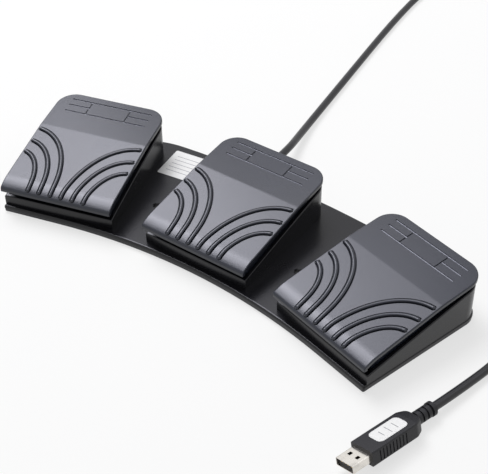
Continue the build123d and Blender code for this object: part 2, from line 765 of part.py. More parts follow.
def cable_connector():
    """The four-way connector that joins the lead's wires to the board."""
    top = CONTROL_Z + CONTROL_SIZE[2]
    return at_treadle(0) * (Pos(CONTROL_AT[0], CONNECTOR_Y, top + 1.7) * Box(10, 4.4, 3.4))


def wire_pair(points, apart):
    """Two thin wires side by side along a route."""
    pair = []
    for side in (-0.5, 0.5):
        moved = [(x + side * apart[0], y + side * apart[1], z) for x, y, z in points]
        path = FilletPolyline(*moved, radius=[1.2] * (len(moved) - 2))
        pair.append(tube(path.edges(), WIRE_R))
    return pair


def side_wires(side):
    """The wires from the middle box to an outer treadle's switch board, under the deck."""
    start = Vector(*on_base(0, side * 3, WIRES_Y))
    end = Vector(*on_base(side, 0, WIRES_Y))
    board = Vector(*on_base(side, 0, 50))
    channel = PLATE_TOP + 0.55
    points = [
        (start.X, start.Y, 8.0),
        (start.X, start.Y, channel),
        (end.X, end.Y, channel),
        (end.X, end.Y, 6.6),
        (board.X, board.Y, 6.6),
        (board.X, board.Y, BOARD_Z),
    ]
    across = (end - start).normalized()
    return wire_pair(points, (-across.Y * WIRES_APART, across.X * WIRES_APART))


def deck_label():
    """The blank label on the deck, between the left and middle treadles."""
    turn = Pos(0, FAN_CENTRE_Y, 0) * Rot(0, 0, FAN_STEP / 2) * Pos(0, FAN_RADIUS, 0)
    label = RectangleRounded(*DECK_LABEL, 1.0)
    return turn * (Pos(0, DECK_LABEL_Y, DECK_TOP) * extrude(label, LABEL_THICK))


def in_plug(shape):
    """Places a plug piece, drawn with X across, Y back from the shell's front and Z up."""
    place = Pos(*PLUG_AT) * Rot(0, 0, PLUG_YAW) * Rot(PLUG_PITCH, 0, 0) * Rot(0, PLUG_ROLL, 0)
    return place * shape


def plug_shell():
    """The folded metal shell, with its four latch windows."""
    wide, deep, high = SHELL_SIZE
    shell = Pos(0, deep / 2, 0) * Box(wide, deep, high)
    shell = fillet(shell.edges().filter_by(Axis.Y), 0.5)
    inner = Pos(0, deep / 2 - SHELL_WALL, 0) * Box(wide - 2 * SHELL_WALL, deep, high - 2 * SHELL_WALL)
    shell -= fillet(inner.edges().filter_by(Axis.Y), 0.2)
    for x in (-2.6, 2.6):
        shell -= Pos(x, 6.4, 0) * Box(2.0, 2.3, 10)
    return in_plug(shell)


def plug_tongue():
    """The insulating tongue inside the shell."""
    wide, deep, high = SHELL_SIZE
    inside = high - 2 * SHELL_WALL
    across = wide - 2 * SHELL_WALL - 0.6
    tongue = Pos(0, deep / 2 + 0.3, -inside / 2 + 0.95) * Box(across, deep - 2.0, 1.9)
    rear = Pos(0, deep - 2.5, 0) * Box(across, 3.0, inside)
    body = tongue + rear
    for k in range(4):
        body -= Pos(contact_x(k), 5.5, -inside / 2 + 1.9) * Box(1.2, 8.6, 0.5)
    return in_plug(body)


def contact_x(k):
    """Where the k-th of the four contacts lies across the plug."""
    return (-3.5, -1.0, 1.0, 3.5)[k]


def plug_contacts():
    """Four contacts, let into the tongue."""
    top = -(SHELL_SIZE[2] - 2 * SHELL_WALL) / 2 + 1.9
    strips = [Pos(contact_x(k), 5.5, top - 0.1) * Box(1.0, 8.2, 0.3) for k in range(4)]
    return [in_plug(s) for s in strips]


def plug_grip():
    """The moulded body of the plug, narrowing to the rear, with grooved sides."""
    wide, deep, high = GRIP_SIZE
    start = SHELL_SEEN
    rear_wide, rear_high = 10.4, 7.4
    straight = 30.5
    body = Pos(0, start + deep / 2, 0) * Box(wide, deep, high)
    taper = [(-wide / 2, start - 1), (wide / 2, start - 1), (wide / 2, start + straight),
             (rear_wide / 2, start + deep), (-rear_wide / 2, start + deep), (-wide / 2, start + straight)]
    top_view = make_face(Polyline(*taper, close=True))
    bends = [v for v in top_view.vertices() if v.Y > start + straight - 1]
    top_view = fillet(bends, 4.0)
    body &= Pos(0, 0, -10) * extrude(top_view, 20)
    side_view = [(start - 1, -high / 2), (start + straight, -high / 2), (start + deep, -rear_high / 2),
                 (start + deep, rear_high / 2), (start + straight, high / 2), (start - 1, high / 2)]
    body &= side_block(side_view, 20)
    long_edges = [e for e in body.edges() if abs((e @ 0.5).Z) > 3.4 and abs((e @ 0.5).X) > 4]
    body = fillet([e for e in long_edges if (e @ 0.5).Y > start + 0.5], 0.9)
    for k in range(9):
        for side in (-1, 1):
            y = start + 5.0 + 2.2 * k
            body -= Pos(side * wide / 2, y, 0) * Box(0.7, 0.8, high - 2.4)
    shell_wide, shell_deep, shell_high = SHELL_SIZE
    body -= Pos(0, shell_deep / 2, 0) * Box(shell_wide, shell_deep, shell_high)
    return in_plug(body)


def plug_neck():
    """The ribbed boot between the plug's body and the lead."""
    start = SHELL_SEEN + GRIP_SIZE[1]
    neck = Pos(0, 0, NECK_LENGTH / 2) * Cylinder(3.0, NECK_LENGTH)
    for k in range(4):
        width = 4.0 if k == 3 else 3.7
        neck += Pos(0, 0, 1.4 + 3.3 * k) * Cylinder(width, 2.1)
    return in_plug(Pos(0, start, 0) * Rot(-90, 0, 0) * neck)


def plug_label():
    """The blank label on the plug's body."""
    label = RectangleRounded(*PLUG_LABEL, 3.0)
    face = Pos(0, SHELL_SEEN + PLUG_LABEL_Y, GRIP_SIZE[2] / 2) * extrude(label, LABEL_THICK)
    return in_plug(face)


def save(name, shape):
    """Writes one sub-part to its own file."""
    pieces = shape if isinstance(shape, list) else [shape]
    solids = [s for p in pieces for s in p.solids()]
    body = solids[0] if len(solids) == 1 else Compound(solids)
    export_step(body, f"parts/{name}.step")


def main():
    os.makedirs("parts", exist_ok=True)
    one_treadle = treadle()
    one_spring = return_spring()
    for index, side in SIDES.items():
        place = at_treadle(index)
        save(f"treadle_{side}", place * one_treadle)
        save(f"hinge_pin_{side}", place * hinge_pin())
        save(f"return_spring_{side}", place * one_spring)
        save(f"switch_board_{side}", place * switch_board())
        save(f"switch_body_{side}", place * switch_body())
        save(f"switch_plunger_{side}", place * switch_plunger())
        save(f"bumpers_{side}", [place * pad for pad in bumpers()])
    save("base_housing", base_housing())
    save("bottom_plate", bottom_plate())
    save("rubber_feet", rubber_feet())
    save("bottom_screws", bottom_screws())
    save("board_screws", board_screws())
    save("control_board", control_board())
    save("control_stands", control_stands())
    save("control_chips", control_chip())
    save("cable_connector", cable_connector())
    save("wires_left", side_wires(-1))
    save("wires_right", side_wires(1))
    save("deck_label", deck_label())
    save("cable_relief", cable_relief())
    save("cable_tail", cable_tail())
    save("cable_rear_run", cable_run("cable rear run", REAR_ROUTE))
    save("cable_coil", cable_coil())
    save("cable_plug_run", cable_run("cable plug run", PLUG_ROUTE))
    save("plug_neck", plug_neck())
    save("plug_grip", plug_grip())
    save("plug_shell", plug_shell())
    save("plug_tongue", plug_tongue())
    save("plug_contacts", plug_contacts())
    save("plug_label", plug_label())


main()
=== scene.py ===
"""A three-treadle foot switch on one curved base, with its lead and plug, on a pale floor."""

import math

import bmesh
import bpy
from mathutils import Matrix, Vector


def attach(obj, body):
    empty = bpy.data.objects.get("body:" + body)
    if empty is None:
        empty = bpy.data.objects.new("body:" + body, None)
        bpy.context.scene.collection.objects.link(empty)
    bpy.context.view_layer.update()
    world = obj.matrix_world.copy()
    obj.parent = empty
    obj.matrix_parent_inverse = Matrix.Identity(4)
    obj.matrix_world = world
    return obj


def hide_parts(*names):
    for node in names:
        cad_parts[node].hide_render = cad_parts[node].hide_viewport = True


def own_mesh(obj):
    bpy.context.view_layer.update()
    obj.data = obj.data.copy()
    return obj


bl_info = {
    "name": "Foot switch",
    "version": (1, 0, 0),
    "blender": (4, 5, 0),
    "location": "View3D > Sidebar > Foot switch",
    "description": "Dresses the foot switch with its finishes, lead, springs, feet and studio",
    "category": "Object",
}

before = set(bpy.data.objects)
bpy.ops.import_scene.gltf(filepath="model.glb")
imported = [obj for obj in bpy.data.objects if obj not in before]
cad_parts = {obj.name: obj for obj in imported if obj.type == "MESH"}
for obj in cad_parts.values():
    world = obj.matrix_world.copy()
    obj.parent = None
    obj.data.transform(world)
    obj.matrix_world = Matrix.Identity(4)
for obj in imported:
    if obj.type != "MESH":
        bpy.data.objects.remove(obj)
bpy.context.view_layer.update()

MM = 0.001
SIDES = {"left": -1, "centre": 0, "right": 1}

# The fan of the three treadles, as the solids have it, in millimetres
FAN_RADIUS = 350.4
FAN_STEP = 15.33
FAN_CENTRE_Y = -384.5

# Lead: its centre line on the floor, in millimetres
CORD_R = 2.4
EXIT_Z = 9.6
REAR_ROUTE = [
    (-14.5, 70.9, EXIT_Z),
    (-14.5, 83.5, EXIT_Z),
    (-19.8, 104.0, 5.6),
    (-26.0, 134.0, CORD_R),
    (-51.5, 316.0, CORD_R),
    (-40.0, 346.0, CORD_R),
    (-7.0, 358.0, CORD_R),
    (28.0, 346.0, CORD_R),
    (50.0, 315.0, CORD_R),
    (72.0, 287.3, CORD_R),
    (100.2, 287.3, CORD_R),
]
COIL_CENTRE = (105.0, 250.5)
COIL_OUTER_R = 36.8
COIL_INNER_R = 20.0
COIL_TURNS = 3
COIL_LIFT = 5.3
COIL_DIP = 1.0
COIL_CLIMB = 2  # quarter turns from the lower layer to the upper one
COIL_PARTS = 6  # points to a quarter turn
PLUG_ROUTE = [
    (140.4, 245.7, CORD_R + COIL_LIFT),
    (140.4, 221.0, CORD_R + COIL_LIFT),
    (144.0, 183.0, CORD_R),
    (157.0, 133.0, CORD_R),
    (172.0, 87.0, CORD_R),
    (177.6, 42.0, CORD_R),
    (174.0, 2.0, CORD_R),
    (166.85, -31.233, 4.267),
    (162.511, -47.646, 5.157),
]

# Engraved lines in a treadle's own frame, in millimetres, and a painted highlight along their rear
# halves: its offset behind each line, its half width and its colour
LINE_HALF = 27.0
LINE_BREAK = 13.2
LINE_ROWS = (70.3, 76.2, 81.8)
HIGHLIGHT_BEHIND = 0.12
HIGHLIGHT_HALF = 0.3
PAINTED_HIGHLIGHT_COLOUR = (0.42, 0.43, 0.47)

# Waves in a treadle's own frame: quarter ellipses about a centre, in millimetres,
# the grooves beside them from their middle line, and the painted shade in these grooves: how dark
# and dull it is
WAVE_CENTRE = (36.5, 1.0)
WAVE_REACH = [(33.0, 48.5), (25.6, 37.8), (18.3, 28.3)]
WAVE_SIDE_END = 34.3
WAVE_FRONT_END = 0.4
GROOVE_INNER = 0.95
GROOVE_OUTER = 1.75
GROOVE_EDGE = 0.12
PAINTED_SHADE_SHARE = 0.8
GROOVE_SHADE = 0.4
GROOVE_ROUGHNESS = 0.8
GROOVE_SPECULAR = 0.1

# Springs and feet, in a treadle's own frame, in millimetres
SPRING_Y = 28.0
SPRING_R = 4.2
SPRING_LOW = 6.4
SPRING_HIGH = 19.6
SPRING_TURNS = 8
SPRING_CLOSED_TURNS = 1
SPRING_STEPS = 24
FEET_AT = [(-20.0, 7.0), (20.0, 7.0), (0.0, 76.0)]
FOOT_R = 6.0
FOOT_THICK = 2.0
FOOT_ROUNDING = 0.4
FOOT_RIM = 1.4
FOOT_RING = 0.9
FOOT_RING_REACH = (3.4, 4.3)

# How a foot's flat faces are told: their normal, their level in metres, and the smoothing angle
FACING_DOWN = -0.99
SAME_LEVEL = 1e-5
SMOOTH_ANGLE = 35

# Plug: the front middle of its shell and its turn, in millimetres and degrees
PLUG_AT = (146.94, -106.54, 8.35)
PLUG_TURN = (-3.0, -16.8, -14.81)

# Deck label: its middle along the fan, between two treadles, in millimetres
DECK_LABEL_Y = 74.9

# Blank labels in metres: width and depth, then ruled lines as middle, row and half length,
# the plug label's middle from the front of the shell, and their edge, ink and its colour
DECK_LABEL_SIZE = (0.034, 0.0248)
DECK_LABEL_RULES = [
    (-0.004, 0.0072, 0.0095),
    (0.0, 0.0036, 0.0135),
    (-0.0015, 0.0, 0.012),
    (0.0, -0.0036, 0.0135),
    (-0.006, -0.0072, 0.0075),
]
PLUG_LABEL_SIZE = (0.0098, 0.020)
PLUG_LABEL_RULES = [
    (0.0, 0.0045, 0.0026),
    (0.0, 0.0, 0.0030),
    (0.0, -0.0045, 0.0022),
]
PLUG_LABEL_MIDDLE = (0, 0.0296, 0.0042)
LABEL_EDGE = 0.0007
LABEL_RULE_HALF = 0.00024
LABEL_EDGE_INK = 0.12
LABEL_INK = 0.75
LABEL_INK_COLOUR = (0.13, 0.13, 0.14)

# Camera: place in metres, and its right, down and forward directions
CAMERA_AT = (0.31852, -0.41739, 0.45921)
CAMERA_RIGHT = (0.8111475, 0.5847321, -0.0113149)
CAMERA_DOWN = (0.3768545, -0.5373764, -0.7544583)
CAMERA_AHEAD = (-0.4472364, 0.6077129, -0.6562504)
CAMERA_LENS = 87.38

# Softboxes: their places in metres and powers in watts, their width and their cool white
LIGHTS = {
    "left_box": ((-1.281, 0.618, 1.678), 12.5),
    "rear_box": ((-0.793, 0.838, 1.873), 7.0),
    "upper_left_box": ((-0.991, 0.110, 1.961), 20.9),
    "top_box": ((-0.218, 0.218, 2.178), 5.0),
    "right_box": ((0.876, 1.313, 1.532), 2.0),
}
LIGHT_SIZE = 0.85
LIGHT_COLOUR = (0.90, 0.90, 1.0)

# Floor: its width in metres, and the share of plain white that the camera sees in it
FLOOR_SIZE = 8.0
FLOOR_WHITENESS = 0.68


class StudioSizes(bpy.types.PropertyGroup):
    """Sizes and levels that a user would change."""

    cord_diameter: bpy.props.FloatProperty(
        name="Lead diameter", description="Outer diameter of the lead", default=0.0048,
        subtype="DISTANCE", unit="LENGTH")
    spring_wire: bpy.props.FloatProperty(
        name="Spring wire", description="Diameter of the return springs' wire", default=0.0009,
        subtype="DISTANCE", unit="LENGTH")
    foot_groove: bpy.props.FloatProperty(
        name="Foot groove", description="Depth of the ring in each foot", default=0.0004,
        subtype="DISTANCE", unit="LENGTH")
    light_level: bpy.props.FloatProperty(
        name="Light level", description="Brightness of all the lights together", default=1.0)
    sky_level: bpy.props.FloatProperty(
        name="Room level", description="Brightness of the plain room around the object",
        default=0.26)


class StudioColours(bpy.types.PropertyGroup):
    """Colours that a user would change."""

    treadle: bpy.props.FloatVectorProperty(
        name="Treadles", description="Satin charcoal plastic of the treadles", subtype="COLOR",
        default=(0.013, 0.016, 0.026))
    base: bpy.props.FloatVectorProperty(
        name="Base", description="Glossy black plastic of the base", subtype="COLOR",
        default=(0.006, 0.006, 0.008))
    cord: bpy.props.FloatVectorProperty(
        name="Lead", description="Dark cover of the lead", subtype="COLOR",
        default=(0.010, 0.010, 0.012))
    plug: bpy.props.FloatVectorProperty(
        name="Plug", description="Dark plastic of the plug's body", subtype="COLOR",
        default=(0.010, 0.010, 0.012))
    label: bpy.props.FloatVectorProperty(
        name="Labels", description="White film of the blank labels", subtype="COLOR",
        default=(0.90, 0.90, 0.82))
    floor: bpy.props.FloatVectorProperty(
        name="Floor", description="Plain pale floor", subtype="COLOR",
        default=(0.96, 0.96, 0.87))


class Value:
    """A node's output socket that takes part in arithmetic."""

    def __init__(self, finish, socket):
        self.finish = finish
        self.socket = socket

    def math(self, operation, first, second):
        return self.finish.node("ShaderNodeMath", {"operation": operation}, {0: first, 1: second})

    def __add__(self, other):
        return self.math("ADD", self, other)

    def __radd__(self, other):
        return self.math("ADD", other, self)

    def __sub__(self, other):
        return self.math("SUBTRACT", self, other)

    def __rsub__(self, other):
        return self.math("SUBTRACT", other, self)

    def __mul__(self, other):
        return self.math("MULTIPLY", self, other)

    def __rmul__(self, other):
        return self.math("MULTIPLY", other, self)

    def __truediv__(self, other):
        return self.math("DIVIDE", self, other)

    def __gt__(self, other):
        return self.math("GREATER_THAN", self, other)

    def __lt__(self, other):
        return self.math("LESS_THAN", self, other)

    def __abs__(self):
        return self.finish.root(self * self)


class Finish:
    """One procedural material, built round a Principled shader."""

    def __init__(self, name, **constants):
        self.material = bpy.data.materials.new(name)
        self.material.use_nodes = True
        self.tree = self.material.node_tree
        self.tree.nodes.clear()
        self.shader = self.tree.nodes.new("ShaderNodeBsdfPrincipled")
        self.output = self.tree.nodes.new("ShaderNodeOutputMaterial")
        self.tree.links.new(self.shader.outputs[0], self.output.inputs[0])
        self.coordinates = Value(self, self.tree.nodes.new("ShaderNodeTexCoord").outputs["Object"])
        for socket, value in constants.items():
            self.shader.inputs[socket.replace("_", " ")].default_value = value

    def node(self, kind, settings=None, inputs=None):
        """Adds a node: its settings first, then its sockets' values or links."""
        node = self.tree.nodes.new(kind)
        for name, value in (settings or {}).items():
            setattr(node, name, value)
        for name, value in (inputs or {}).items():
            self.feed(node.inputs[name], value)
        return Value(self, node.outputs[0])

    def feed(self, socket, value):
        if isinstance(value, Value):
            self.tree.links.new(value.socket, socket)
        elif hasattr(value, "__len__") and len(value) == 3 and socket.type == "RGBA":
            socket.default_value = (*value, 1.0)
        else:
            socket.default_value = value

    def set(self, socket, value):
        """Feeds one of the shader's own sockets."""
        self.feed(self.shader.inputs[socket], value)

    def placed(self, at=(0, 0, 0), turn=(0, 0, 0), scale=(1, 1, 1)):
        """Object coordinates, centred on a point and turned with a piece."""
        return self.node("ShaderNodeMapping", {"vector_type": "TEXTURE"},
                         {"Vector": self.coordinates, "Location": at, "Rotation": turn,
                          "Scale": scale})

    def noise(self, scale, detail=3.0, rough=0.5, vector=None):
        return self.node("ShaderNodeTexNoise", {"noise_dimensions": "3D"},
                         {"Vector": vector or self.coordinates, "Scale": scale, "Detail": detail,
                          "Roughness": rough})

    def split(self, vector):
        """The three numbers of a vector."""
        node = self.tree.nodes.new("ShaderNodeSeparateXYZ")
        self.feed(node.inputs[0], vector)
        return [Value(self, node.outputs[k]) for k in range(3)]

    def near(self, value, centre, half):
        """1 where value lies within half of centre, else 0."""
        return self.node("ShaderNodeMath", {"operation": "COMPARE"},
                         {0: value, 1: centre, 2: half})

    def between(self, value, low, high):
        """0 below low, 1 above high, smooth between them."""
        return self.node("ShaderNodeMapRange", {"interpolation_type": "SMOOTHSTEP"},
                         {"Value": value, "From Min": low, "From Max": high})

    def root(self, value):
        return self.node("ShaderNodeMath", {"operation": "SQRT"}, {0: value})

    def uneven(self, value, noise, amount):
        """A value that a noise moves up and down by up to half an amount."""
        return value + (noise - 0.5) * amount

    def overlay(self, share, other):
        """Shows another shader in place of the main one by a share."""
        mixed = self.tree.nodes.new("ShaderNodeMixShader")
        self.tree.links.new(share.socket, mixed.inputs[0])
        self.tree.links.new(self.shader.outputs[0], mixed.inputs[1])
        self.tree.links.new(other.outputs[0], mixed.inputs[2])
        self.tree.links.new(mixed.outputs[0], self.output.inputs[0])

    def mix_painted_shade(self, share, colour):
        """Mixes in a dull, dark surface by a share, as painted shade."""
        dull = self.tree.nodes.new("ShaderNodeBsdfPrincipled")
        dull.inputs["Base Color"].default_value = (*colour, 1.0)
        dull.inputs["Roughness"].default_value = GROOVE_ROUGHNESS
        dull.inputs["Specular IOR Level"].default_value = GROOVE_SPECULAR
        self.overlay(share, dull)

    def mix(self, share, first, second):
        """A colour between two colours."""
        node = self.tree.nodes.new("ShaderNodeMix")
        node.data_type = "RGBA"
        self.feed(node.inputs["Factor"], share)
        self.feed(node.inputs[6], first)
        self.feed(node.inputs[7], second)
        return Value(self, node.outputs[2])

    def bump(self, height, distance, strength=1.0):
        """Raises the surface by height times distance, in metres."""
        normal = self.node("ShaderNodeBump", None,
                           {"Height": height, "Distance": distance, "Strength": strength})
        self.set("Normal", normal)


def shade(colour, factor):
    """A colour made darker or lighter by a factor."""
    return tuple(min(1.0, c * factor) for c in colour)


def moulded_plastic(name, colour, rough, grain, depth, specular=0.5, streak=0.12, painted_highlight=None,
                    painted_shade=None):
    """Moulded plastic: fine grain, faint flow marks, slightly uneven gloss, and, where given, a
    painted highlight and painted shade.
    """
    finish = Finish(name, IOR=1.5, Specular_IOR_Level=specular)
    flow = finish.noise(scale=14.0, detail=2.0)
    fine = finish.noise(scale=grain, detail=2.0, rough=0.6)
    tone = finish.mix(finish.between(flow, 0.3, 0.7),
                      shade(colour, 1 - streak), shade(colour, 1 + streak))
    # Painted highlight: a paler colour laid along the engraved lines, where given
    if painted_highlight:
        tone = finish.mix(painted_highlight(finish), tone, PAINTED_HIGHLIGHT_COLOUR)
    finish.set("Base Color", tone)
    smear = finish.noise(scale=38.0, detail=4.0, rough=0.6)
    smeared = finish.uneven(rough, smear, amount=0.05)
    finish.set("Roughness", finish.uneven(smeared, fine, amount=0.03))
    finish.bump(fine, depth, strength=0.6)
    # Painted shade: a dull, dark sheet mixed in over the grooves, where given
    if painted_shade:
        finish.mix_painted_shade(painted_shade(finish), shade(colour, GROOVE_SHADE))
    return finish.material


def in_treadle(finish, index):
    """Object coordinates in a treadle's own frame: across it and along it."""
    x, y = (c * MM for c in on_base(index, 0, 0))
    place = finish.placed(at=(x, y, 0), turn=(0, 0, -math.radians(index * FAN_STEP)))
    return finish.split(place)[:2]


def painted_groove_shade(index):
    """Gives the painted shade in the grooves beside a treadle's waves."""
    def share(finish):
        across, along = in_treadle(finish, index)
        x = WAVE_CENTRE[0] * MM - abs(across)
        y = along - WAVE_CENTRE[1] * MM
        total = 0.0
        for wide, long in WAVE_REACH:
            # How far a point is from the wave's ellipse, from the ellipse's own slope there
            u, v = x / (wide * MM), y / (long * MM)
            reach = finish.root(u * u + v * v)
            slope_x, slope_y = u / (wide * MM), v / (long * MM)
            slope = finish.root(slope_x * slope_x + slope_y * slope_y)
            away = abs((reach - 1) * reach / slope)
            edge = GROOVE_EDGE * MM
            inner, outer = GROOVE_INNER * MM, GROOVE_OUTER * MM
            total = total + (finish.between(away, inner - edge, inner + edge)
                             - finish.between(away, outer - edge, outer + edge))
        inside = (x > (WAVE_CENTRE[0] - WAVE_SIDE_END) * MM) * (along > WAVE_FRONT_END * MM)
        ahead = y > 0.0
        # The share of painted shade in the grooves
        return total * inside * ahead * PAINTED_SHADE_SHARE
    return share


def painted_line_highlight(index):
    """Gives the painted highlight on the rear halves of a treadle's engraved lines."""
    def share(finish):
        across, along = in_treadle(finish, index)
        middle = finish.near(across, 0.0, LINE_HALF * MM)
        outer = middle - finish.near(across, 0.0, LINE_BREAK * MM)
        front, broken, rear = (
            finish.near(along, (row + HIGHLIGHT_BEHIND) * MM, HIGHLIGHT_HALF * MM) for row in LINE_ROWS)
        return (front + rear) * middle + broken * outer
    return share


def soft_rubber(name, colour, rough=0.62):
    """Dull rubber with a dusty bloom."""
    finish = Finish(name, IOR=1.5, Specular_IOR_Level=0.35)
    dust = finish.noise(scale=160.0, detail=5.0, rough=0.65)
    bloom = finish.between(dust, 0.35, 0.8)
    finish.set("Base Color", finish.mix(bloom, colour, shade(colour, 1.9)))
    finish.set("Roughness", finish.uneven(rough, dust, amount=0.2))
    finish.bump(finish.noise(scale=2600.0, detail=2.0), distance=0.00005, strength=0.5)
    return finish.material


def cord_cover(name, colour):
    """Extruded cover of the lead: satin, with faint unevenness along it."""
    finish = Finish(name, IOR=1.5, Specular_IOR_Level=0.42)
    wander = finish.noise(scale=55.0, detail=3.0)
    fine = finish.noise(scale=3200.0, detail=2.0)
    finish.set("Base Color", finish.mix(wander, shade(colour, 0.85), shade(colour, 1.3)))
    finish.set("Roughness", finish.uneven(0.30, wander, amount=0.12))
    finish.bump(fine, distance=0.00003, strength=0.5)
    return finish.material


def drawn_metal(name, colour, rough, stretch, turn=(0, 0, 0)):
    """Metal with fine lines along one direction and small tarnish."""
    finish = Finish(name, Metallic=1.0)
    lines = finish.noise(scale=900.0, detail=3.0, rough=0.6,
                         vector=finish.placed(turn=turn, scale=stretch))
    tarnish = finish.noise(scale=120.0, detail=4.0)
    dulled = finish.between(tarnish, 0.45, 0.75)
    finish.set("Base Color", finish.mix(dulled, colour, shade(colour, 0.78)))
    finish.set("Roughness", finish.uneven(rough, lines, amount=0.16))
    finish.bump(lines, distance=0.00002, strength=0.4)
    return finish.material


def circuit_board(name):
    """Green laminate with a faint weave, and pale tracks."""
    finish = Finish(name, IOR=1.5)
    pitch = 0.0032
    track_half = 0.09
    weave = finish.noise(scale=1400.0, detail=2.0)
    x, y, _ = finish.split(finish.placed(scale=(pitch, pitch, pitch)))
    wave = finish.node("ShaderNodeMath", {"operation": "PINGPONG"}, {0: x + y, 1: 0.5})
    track = wave < track_half
    board = finish.mix(weave, (0.008, 0.10, 0.030), (0.014, 0.15, 0.048))
    finish.set("Base Color", finish.mix(track * 0.6, board, (0.05, 0.26, 0.10)))
    finish.set("Roughness", 0.28 + weave * 0.1)
    finish.bump(track, distance=0.00004, strength=0.5)
    return finish.material


def blank_label(name, colour, at, turn, size, rules):
    """White film with a thin printed edge and plain ruled lines."""
    finish = Finish(name, IOR=1.45)
    place = finish.placed(at=at, turn=turn)
    x, y, _ = finish.split(place)
    wide, deep = size
    inner = (finish.near(x, 0.0, wide / 2 - LABEL_EDGE)
             * finish.near(y, 0.0, deep / 2 - LABEL_EDGE))
    ink = (1 - inner) * LABEL_EDGE_INK
    for middle_x, row, half in rules:
        ink = ink + finish.near(x, middle_x, half) * finish.near(y, row, LABEL_RULE_HALF)
    paper = finish.mix(finish.noise(scale=700.0, detail=3.0),
                       shade(colour, 0.97), shade(colour, 1.02))
    finish.set("Base Color", finish.mix(ink * LABEL_INK, paper, LABEL_INK_COLOUR))
    finish.set("Roughness", 0.42 + finish.noise(scale=240.0) * 0.1)
    finish.bump(finish.noise(scale=1900.0), distance=0.00001, strength=0.4)
    return finish.material


def on_base(index, x, y):
    """A point of a treadle's frame, in the base's frame, in millimetres."""
    turn = math.radians(index * FAN_STEP)
    reach = FAN_RADIUS + y
    return (reach * math.sin(turn) + x * math.cos(turn),
            FAN_CENTRE_Y + reach * math.cos(turn) - x * math.sin(turn))


def metres(points):
    return [tuple(c * MM for c in p) for p in points]


def deselect():
    for obj in bpy.context.selected_objects:
        obj.select_set(False)


def dress(node, material):
    """Gives a CAD node its material."""
    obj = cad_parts[node]
    obj.data.materials.clear()
    obj.data.materials.append(material)
    for polygon in obj.data.polygons:
        polygon.material_index = 0


def coil_place(k):
    """A point of the lead's coil, k quarter turns along it, clockwise from its top."""
    layer_quarters = 4 * COIL_TURNS
    spread = COIL_OUTER_R - COIL_INNER_R
    turn = math.radians(90 - 90 * k)
    if k <= layer_quarters:
        radius = COIL_OUTER_R - spread * k / layer_quarters
        height = CORD_R
    elif k <= layer_quarters + COIL_CLIMB:
        share = (k - layer_quarters) / COIL_CLIMB
        radius = COIL_INNER_R - COIL_DIP * math.sin(math.pi * share)
        height = CORD_R + COIL_LIFT * (1 - math.cos(math.pi * share)) / 2
    else:
        radius = COIL_INNER_R + spread * (k - layer_quarters - COIL_CLIMB) / layer_quarters
        height = CORD_R + COIL_LIFT
    x, y = COIL_CENTRE
    return (x + radius * math.cos(turn), y + radius * math.sin(turn), height)


